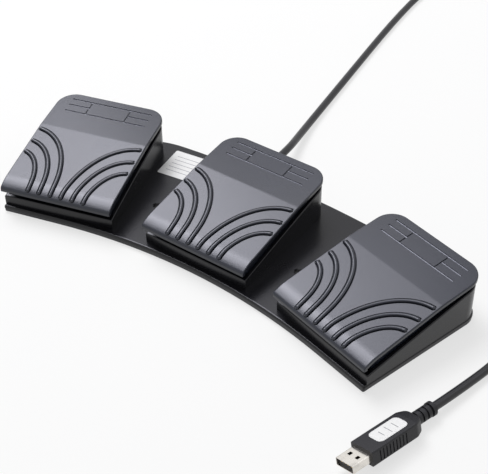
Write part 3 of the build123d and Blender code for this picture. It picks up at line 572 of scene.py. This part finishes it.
class FOOT_OT_stage(bpy.types.Operator):
    """Adds the floor, the lights, the room and the camera"""

    bl_idname = "foot.stage"
    bl_label = "Studio"

    def execute(self, context):
        sizes = context.scene.foot_sizes
        colours = context.scene.foot_colours
        deselect()
        bpy.ops.mesh.primitive_plane_add(size=FLOOR_SIZE, location=(0, 0, 0))
        floor = context.object
        floor.name = "floor"
        paint = Finish("floor_paint", Specular_IOR_Level=0.0)
        cloud = paint.noise(scale=0.9, detail=2.0)
        paint.set("Base Color", paint.mix(cloud, shade(colours.floor, 0.995), colours.floor[:]))
        paint.set("Roughness", 0.9 + cloud * 0.05)
        self.whiten(paint)
        floor.data.materials.append(paint.material)

        camera = bpy.data.cameras.new("camera")
        camera.sensor_fit = "HORIZONTAL"
        camera.sensor_width = 36.0
        camera.lens = CAMERA_LENS
        camera.clip_start = 0.01
        seat = bpy.data.objects.new("camera", camera)
        context.collection.objects.link(seat)
        right, down, ahead = Vector(CAMERA_RIGHT), Vector(CAMERA_DOWN), Vector(CAMERA_AHEAD)
        turn = Matrix((right, -down, -ahead)).transposed()
        seat.matrix_world = Matrix.Translation(CAMERA_AT) @ turn.to_4x4()
        context.scene.camera = seat

        for name, (place, power) in LIGHTS.items():
            self.lamp(context, name, place, power * sizes.light_level)

        world = bpy.data.worlds.new("room")
        context.scene.world = world
        world.use_nodes = True
        tree = world.node_tree
        tree.nodes.clear()
        output = tree.nodes.new("ShaderNodeOutputWorld")
        seen = tree.nodes.new("ShaderNodeBackground")
        seen.inputs["Color"].default_value = (1, 1, 1, 1)
        seen.inputs["Strength"].default_value = 1.0
        room = tree.nodes.new("ShaderNodeBackground")
        room.inputs["Color"].default_value = (*LIGHT_COLOUR, 1)
        room.inputs["Strength"].default_value = sizes.sky_level
        mixed = tree.nodes.new("ShaderNodeMixShader")
        tree.links.new(self.seen_rays(tree), mixed.inputs[0])
        tree.links.new(room.outputs[0], mixed.inputs[1])
        tree.links.new(seen.outputs[0], mixed.inputs[2])
        tree.links.new(mixed.outputs[0], output.inputs[0])
        context.scene.view_settings.view_transform = "Standard"
        return {"FINISHED"}

    def whiten(self, paint):
        """Lets the floor show partly as plain white, so that shadows stay soft and pale."""
        glow = paint.tree.nodes.new("ShaderNodeEmission")
        glow.inputs["Strength"].default_value = 1.0
        paint.overlay(Value(paint, self.seen_rays(paint.tree)) * FLOOR_WHITENESS, glow)

    def seen_rays(self, tree):
        """1 for what the camera sees, straight on, in a gloss or through something clear."""
        path = tree.nodes.new("ShaderNodeLightPath")
        first = tree.nodes.new("ShaderNodeMath")
        first.operation = "MAXIMUM"
        tree.links.new(path.outputs["Is Camera Ray"], first.inputs[0])
        tree.links.new(path.outputs["Is Transmission Ray"], first.inputs[1])
        second = tree.nodes.new("ShaderNodeMath")
        second.operation = "MAXIMUM"
        tree.links.new(first.outputs[0], second.inputs[0])
        tree.links.new(path.outputs["Is Glossy Ray"], second.inputs[1])
        return second.outputs[0]

    def lamp(self, context, name, place, power):
        """A square softbox that faces the middle of the object."""
        light = bpy.data.lights.new(name, "AREA")
        light.size = LIGHT_SIZE
        light.energy = power
        light.color = LIGHT_COLOUR
        lamp = bpy.data.objects.new(name, light)
        context.collection.objects.link(lamp)
        lamp.location = place
        lamp.rotation_euler = (-Vector(place)).to_track_quat("-Z", "Y").to_euler()


class FOOT_OT_lead(bpy.types.Operator):
    """Lays the lead from the base's boot to its plug, with its put-away coil"""

    bl_idname = "foot.lead"
    bl_label = "Lead"

    def execute(self, context):
        sizes = context.scene.foot_sizes
        # Two layers and the climb between them, less the last quarter turn towards the plug
        quarters = 2 * 4 * COIL_TURNS + COIL_CLIMB - 1
        turns = [coil_place(k / COIL_PARTS) for k in range(1, quarters * COIL_PARTS + 1)]
        points = metres(REAR_ROUTE + turns + PLUG_ROUTE)
        curve = bpy.data.curves.new("lead", "CURVE")
        curve.dimensions = "3D"
        spline = curve.splines.new("NURBS")
        spline.points.add(len(points) - 1)
        for point, place in zip(spline.points, points):
            point.co = (*place, 1.0)
        spline.order_u = 3
        spline.use_endpoint_u = True
        curve.resolution_u = 8
        curve.bevel_depth = sizes.cord_diameter / 2
        curve.bevel_resolution = 6
        curve.materials.append(cord_cover("lead_cover", context.scene.foot_colours.cord[:]))
        lead = bpy.data.objects.new("lead", curve)
        context.collection.objects.link(lead)
        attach(lead, "base")
        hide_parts("cable_rear_run", "cable_coil", "cable_plug_run")
        metres(REAR_ROUTE)[0]
        return {"FINISHED"}


class FOOT_OT_springs(bpy.types.Operator):
    """Winds the three return springs, with their closed ends"""

    bl_idname = "foot.springs"
    bl_label = "Return springs"

    def execute(self, context):
        wire = context.scene.foot_sizes.spring_wire / 2
        low = SPRING_LOW * MM + wire
        high = SPRING_HIGH * MM - wire
        radius = SPRING_R * MM - wire
        steel = drawn_metal("spring_steel", (0.46, 0.46, 0.47), rough=0.30, stretch=(1, 1, 6))
        open_turns = SPRING_TURNS - 2 * SPRING_CLOSED_TURNS
        for side, index in SIDES.items():
            x, y = (c * MM for c in on_base(index, 0, SPRING_Y))
            curve = bpy.data.curves.new(f"spring_{side}", "CURVE")
            curve.dimensions = "3D"
            spline = curve.splines.new("POLY")
            places = []
            for k in range(SPRING_TURNS * SPRING_STEPS + 1):
                turn = 2 * math.pi * k / SPRING_STEPS
                climb = min(max((k / SPRING_STEPS - SPRING_CLOSED_TURNS) / open_turns, 0.0), 1.0)
                lift = low + (high - low) * climb
                places.append((x + radius * math.cos(turn), y + radius * math.sin(turn), lift))
            spline.points.add(len(places) - 1)
            for point, place in zip(spline.points, places):
                point.co = (*place, 1.0)
            curve.bevel_depth = wire
            curve.bevel_resolution = 3
            curve.use_fill_caps = True
            spring = bpy.data.objects.new(f"spring_{side}", curve)
            context.collection.objects.link(spring)
            deselect()
            spring.select_set(True)
            context.view_layer.objects.active = spring
            bpy.ops.object.convert(target="MESH")
            spring = context.object
            spring.data.shade_smooth()
            spring.data.materials.clear()
            spring.data.materials.append(steel)
            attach(spring, "base")
            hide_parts(f"return_spring_{side}")
            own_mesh(spring)
        return {"FINISHED"}


class FOOT_OT_feet(bpy.types.Operator):
    """Moulds the nine rubber feet, each with a ring in its underside"""

    bl_idname = "foot.feet"
    bl_label = "Rubber feet"

    def execute(self, context):
        groove = context.scene.foot_sizes.foot_groove
        rubber = soft_rubber("foot_rubber", (0.018, 0.018, 0.019))
        deselect()
        bpy.ops.mesh.primitive_cylinder_add(vertices=64, radius=FOOT_R * MM, depth=FOOT_THICK * MM,
                                            location=(0, 0, FOOT_THICK * MM / 2))
        first = context.object
        bpy.ops.object.transform_apply(location=True)
        bpy.ops.object.mode_set(mode="EDIT")
        self.pick_underside(context, first)
        bpy.ops.mesh.bevel(offset=FOOT_ROUNDING * MM, segments=3, affect="EDGES")
        self.pick_underside(context, first)
        bpy.ops.mesh.inset(thickness=FOOT_RIM * MM)
        bpy.ops.mesh.inset(thickness=FOOT_RING * MM)
        self.pick_ring(context, first)
        bpy.ops.mesh.extrude_region_shrink_fatten(TRANSFORM_OT_shrink_fatten={"value": -groove})
        bpy.ops.object.mode_set(mode="OBJECT")
        for index in SIDES.values():
            for k, (x, y) in enumerate(FEET_AT):
                foot = first.copy()
                foot.data = first.data.copy()
                foot.name = f"foot_{index + 1}_{k}"
                context.collection.objects.link(foot)
                px, py = (c * MM for c in on_base(index, x, y))
                foot.data.transform(Matrix.Translation((px, py, 0)))
                foot.data.shade_smooth()
                foot.data.materials.clear()
                foot.data.materials.append(rubber)
                deselect()
                foot.select_set(True)
                context.view_layer.objects.active = foot
                bpy.ops.object.shade_smooth_by_angle(angle=math.radians(SMOOTH_ANGLE))
                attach(foot, "base")
                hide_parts("rubber_feet")
        bpy.data.objects.remove(first)
        return {"FINISHED"}

    def pick_underside(self, context, obj):
        """Selects the flat face that meets the floor."""
        bpy.ops.mesh.select_all(action="DESELECT")
        context.tool_settings.mesh_select_mode = (False, False, True)
        mesh = bmesh.from_edit_mesh(obj.data)
        low = min(face.calc_center_median().z for face in mesh.faces)
        for face in mesh.faces:
            lowest = face.calc_center_median().z < low + SAME_LEVEL
            face.select = face.normal.z < FACING_DOWN and lowest
        bmesh.update_edit_mesh(obj.data)

    def pick_ring(self, context, obj):
        """Selects the ring between the two insets."""
        bpy.ops.mesh.select_all(action="DESELECT")
        mesh = bmesh.from_edit_mesh(obj.data)
        inner, outer = (c * MM for c in FOOT_RING_REACH)
        for face in mesh.faces:
            reach = face.calc_center_median().xy.length
            flat = face.normal.z < FACING_DOWN
            face.select = flat and inner < reach < outer and len(face.verts) == 4
        bmesh.update_edit_mesh(obj.data)


class FOOT_OT_treadles(bpy.types.Operator):
    """Gives the treadles their satin charcoal plastic"""

    bl_idname = "foot.treadles"
    bl_label = "Treadles"

    def execute(self, context):
        colour = context.scene.foot_colours.treadle[:]
        for side, index in SIDES.items():
            # Each treadle gets a painted highlight on its engraved lines and painted shade in the
            # grooves beside its waves
            charcoal = moulded_plastic(f"treadle_{side}_charcoal", colour, rough=0.25,
                                       grain=2400.0, depth=0.000012, specular=0.48,
                                       painted_highlight=painted_line_highlight(index), painted_shade=painted_groove_shade(index))
            dress(f"treadle_{side}", charcoal)
        return {"FINISHED"}


class FOOT_OT_base(bpy.types.Operator):
    """Gives the base, its plate and its labels their finishes"""

    bl_idname = "foot.base"
    bl_label = "Base"

    def execute(self, context):
        colours = context.scene.foot_colours
        black = colours.base[:]
        dress("base_housing",
              moulded_plastic("base_black", black, rough=0.26, grain=1500.0, depth=0.00002,
                              specular=0.34))
        dress("bottom_plate",
              moulded_plastic("plate_black", shade(black, 1.6), rough=0.45, grain=900.0,
                              depth=0.00006))
        half = math.radians(FAN_STEP / 2)
        reach = FAN_RADIUS + DECK_LABEL_Y
        at = (-reach * math.sin(half) * MM, (FAN_CENTRE_Y + reach * math.cos(half)) * MM, 0)
        dress("deck_label",
              blank_label("deck_label_film", colours.label[:], at, (0, 0, half),
                          DECK_LABEL_SIZE, DECK_LABEL_RULES))
        return {"FINISHED"}


class FOOT_OT_works(bpy.types.Operator):
    """Gives the pins, screws, switches, boards and wires their finishes"""

    bl_idname = "foot.works"
    bl_label = "Works"

    def execute(self, context):
        steel = drawn_metal("pin_steel", (0.55, 0.55, 0.56), rough=0.28, stretch=(6, 1, 1))
        zinc = drawn_metal("screw_zinc", (0.50, 0.50, 0.48), rough=0.36, stretch=(1, 1, 1))
        board = circuit_board("green_board")
        case = moulded_plastic("switch_case", (0.022, 0.022, 0.026),
                               rough=0.42, grain=1800.0, depth=0.00003)
        button = moulded_plastic("switch_button", (0.42, 0.025, 0.018),
                                 rough=0.34, grain=1500.0, depth=0.00002)
        pad = soft_rubber("stop_rubber", (0.03, 0.03, 0.032))
        for side in SIDES:
            dress(f"hinge_pin_{side}", steel)
            dress(f"switch_board_{side}", board)
            dress(f"switch_body_{side}", case)
            dress(f"switch_plunger_{side}", button)
            dress(f"bumpers_{side}", pad)
        dress("bottom_screws", zinc)
        dress("board_screws", zinc)
        dress("control_board", board)
        dress("control_stands",
              moulded_plastic("stand_nylon", (0.60, 0.58, 0.50),
                              rough=0.4, grain=1500.0, depth=0.00002))
        dress("control_chips",
              moulded_plastic("chip_black", (0.012, 0.012, 0.013),
                              rough=0.5, grain=2200.0, depth=0.00003))
        dress("cable_connector",
              moulded_plastic("connector_nylon", (0.66, 0.63, 0.54),
                              rough=0.38, grain=1500.0, depth=0.00002))
        wire = cord_cover("wire_red", (0.38, 0.02, 0.015))
        dress("wires_left", wire)
        dress("wires_right", wire)
        return {"FINISHED"}


class FOOT_OT_plug(bpy.types.Operator):
    """Gives the plug, the boot and the lead's tail their finishes"""

    bl_idname = "foot.plug"
    bl_label = "Plug and boot"

    def execute(self, context):
        colours = context.scene.foot_colours
        dark = colours.plug[:]
        body = moulded_plastic("plug_plastic", dark, rough=0.42, grain=2000.0, depth=0.00004,
                               specular=0.35)
        dress("plug_grip", body)
        dress("plug_neck", body)
        dress("cable_relief", cord_cover("boot_cover", colours.cord[:]))
        dress("cable_tail", cord_cover("tail_cover", colours.cord[:]))
        turn = tuple(math.radians(a) for a in PLUG_TURN)
        dress("plug_shell",
              drawn_metal("shell_nickel", (0.74, 0.71, 0.66), rough=0.22, stretch=(1, 7, 1),
                          turn=turn))
        dress("plug_tongue",
              moulded_plastic("tongue_plastic", (0.015, 0.015, 0.016),
                              rough=0.45, grain=1800.0, depth=0.00002))
        dress("plug_contacts",
              drawn_metal("contact_gold", (0.83, 0.60, 0.26), rough=0.22, stretch=(1, 6, 1),
                          turn=turn))
        pitch, roll, yaw = turn
        spin = (Matrix.Rotation(yaw, 4, "Z") @ Matrix.Rotation(pitch, 4, "X")
                @ Matrix.Rotation(roll, 4, "Y"))
        middle = Vector([c * MM for c in PLUG_AT]) + spin @ Vector(PLUG_LABEL_MIDDLE)
        dress("plug_label",
              blank_label("plug_label_film", colours.label[:], middle[:], spin.to_euler()[:],
                          PLUG_LABEL_SIZE, PLUG_LABEL_RULES))
        return {"FINISHED"}


class FOOT_PT_panel(bpy.types.Panel):
    """Lists the steps that build the foot switch"""

    bl_idname = "FOOT_PT_panel"
    bl_label = "Foot switch"
    bl_space_type = "VIEW_3D"
    bl_region_type = "UI"
    bl_category = "Foot switch"

    def draw(self, context):
        for step in STEPS:
            self.layout.operator(step.bl_idname)
        for group in (context.scene.foot_sizes, context.scene.foot_colours):
            for name in group.__annotations__:
                self.layout.prop(group, name)


STEPS = [FOOT_OT_stage, FOOT_OT_lead, FOOT_OT_springs, FOOT_OT_feet, FOOT_OT_treadles,
         FOOT_OT_base, FOOT_OT_works, FOOT_OT_plug]
CLASSES = [StudioSizes, StudioColours, *STEPS, FOOT_PT_panel]


def register():
    for each in CLASSES:
        bpy.utils.register_class(each)
    bpy.types.Scene.foot_sizes = bpy.props.PointerProperty(type=StudioSizes)
    bpy.types.Scene.foot_colours = bpy.props.PointerProperty(type=StudioColours)


def unregister():
    del bpy.types.Scene.foot_colours
    del bpy.types.Scene.foot_sizes
    for each in reversed(CLASSES):
        bpy.utils.unregister_class(each)


def main():
    register()
    for step in ("stage", "lead", "springs", "feet", "treadles", "base", "works", "plug"):
        getattr(bpy.ops.foot, step)()


if __name__ == "__main__":
    main()
